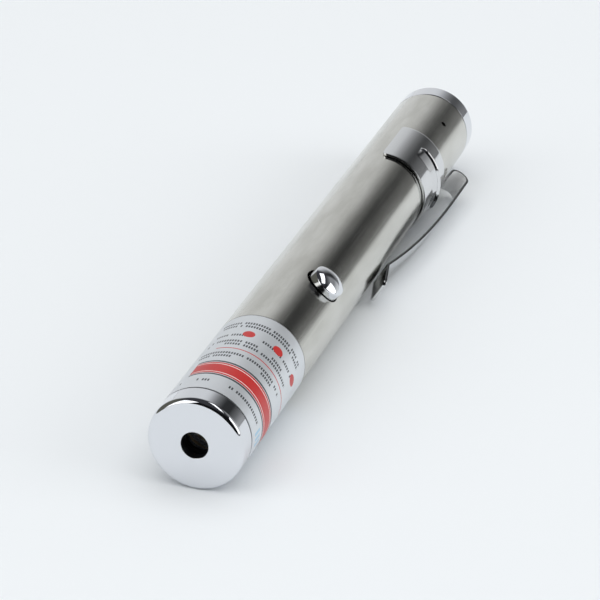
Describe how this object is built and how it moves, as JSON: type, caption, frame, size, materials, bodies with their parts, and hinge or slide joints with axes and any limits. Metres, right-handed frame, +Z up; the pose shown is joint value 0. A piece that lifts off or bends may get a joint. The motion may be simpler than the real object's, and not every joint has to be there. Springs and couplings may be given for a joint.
{
  "type": "laser pointer",
  "caption": "Slim metal laser pointer with a side push button, a spring pocket clip round the tube and a screwed tail cap over the battery.",
  "frame": {"origin": "on the surface that the pen lies on, under the middle of its bounding box", "axes": "+Y along the pen towards its tail cap, so the beam leaves along -Y; +X towards the clip's side; +Z up"},
  "size_m": [0.0172, 0.1222, 0.0151],
  "materials": {
    "polished_chrome": "polished",
    "polished_spring_steel": "polished",
    "brushed_steel": "satin",
    "silver_foil": "satin",
    "turned_brass": "satin",
    "gilt_can": "polished",
    "tinned_metal": "satin",
    "spring_steel": "satin",
    "blackened_aluminium": "matte",
    "clear_lens": "gloss",
    "board_laminate": "satin",
    "black_resin": "matte",
    "white_resin": "satin",
    "ochre_resin": "satin",
    "cell_jacket": "satin",
    "sealing_rubber": "matte"
  },
  "bodies": {
    "pen_body": {"front_cap": "polished_chrome", "barrel": "brushed_steel", "label_sleeve": "silver_foil", "module_housing": "turned_brass", "lens_ring": "blackened_aluminium", "collimating_lens": "clear_lens", "lens_spring": "spring_steel", "laser_diode": "gilt_can", "driver_board": "board_laminate", "driver_chip": "black_resin", "capacitor": "ochre_resin", "chip_resistor_1": "black_resin", "chip_resistor_2": "black_resin", "chip_resistor_3": "black_resin", "current_trimmer": "white_resin", "switch_body": "black_resin", "switch_terminal_1": "tinned_metal", "switch_terminal_2": "tinned_metal", "switch_terminal_3": "tinned_metal", "switch_terminal_4": "tinned_metal", "snap_dome": "spring_steel", "contact_carrier": "white_resin", "front_contact": "tinned_metal", "cell_1": "cell_jacket", "cell_2": "cell_jacket", "tail_insert": "turned_brass", "insert_pin": "spring_steel", "clip_band": "polished_spring_steel"},
    "button": {"button_cap": "polished_chrome"},
    "switch_plunger": {"switch_plunger": "black_resin"},
    "clip_arm": {"clip_arm": "polished_spring_steel"},
    "tail_screw": {"tail_spring": "spring_steel"},
    "tail_cap": {"tail_cap": "polished_chrome", "tail_o_ring": "sealing_rubber"}
  },
  "joints": [
    {"name": "button_press", "type": "slide", "parent": "pen_body", "child": "button", "axis": [-0.6858, 0, -0.7278], "range_m": [0, 0.0005], "stiffness_N_per_m": 1500, "springref_m": -0.0005},
    {"name": "plunger_travel", "type": "slide", "parent": "pen_body", "child": "switch_plunger", "axis": [-0.6858, 0, -0.7278], "range_m": [0, 0.00025]},
    {"name": "clip_flex", "type": "hinge", "parent": "pen_body", "child": "clip_arm", "pos_m": [0.00596, 0.0459, 0.00281], "axis": [0.5268, 0, 0.85], "range_deg": [0, 4], "stiffness_Nm_per_rad": 4, "springref_deg": -1},
    {"name": "tail_travel", "type": "slide", "parent": "pen_body", "child": "tail_screw", "axis": [0, 1, 0], "range_m": [0, 0.0045]},
    {"name": "tail_turn", "type": "hinge", "parent": "tail_screw", "child": "tail_cap", "pos_m": [-0.00161, 0.0573, 0.0075], "axis": [0, 1, 0], "range_deg": [0, 2160]}
  ],
  "couplings": [
    {"joint": "plunger_travel", "follows": "button_press", "ratio": 0.5},
    {"joint": "tail_turn", "follows": "tail_travel", "rad_per_m": 8377}
  ]
}
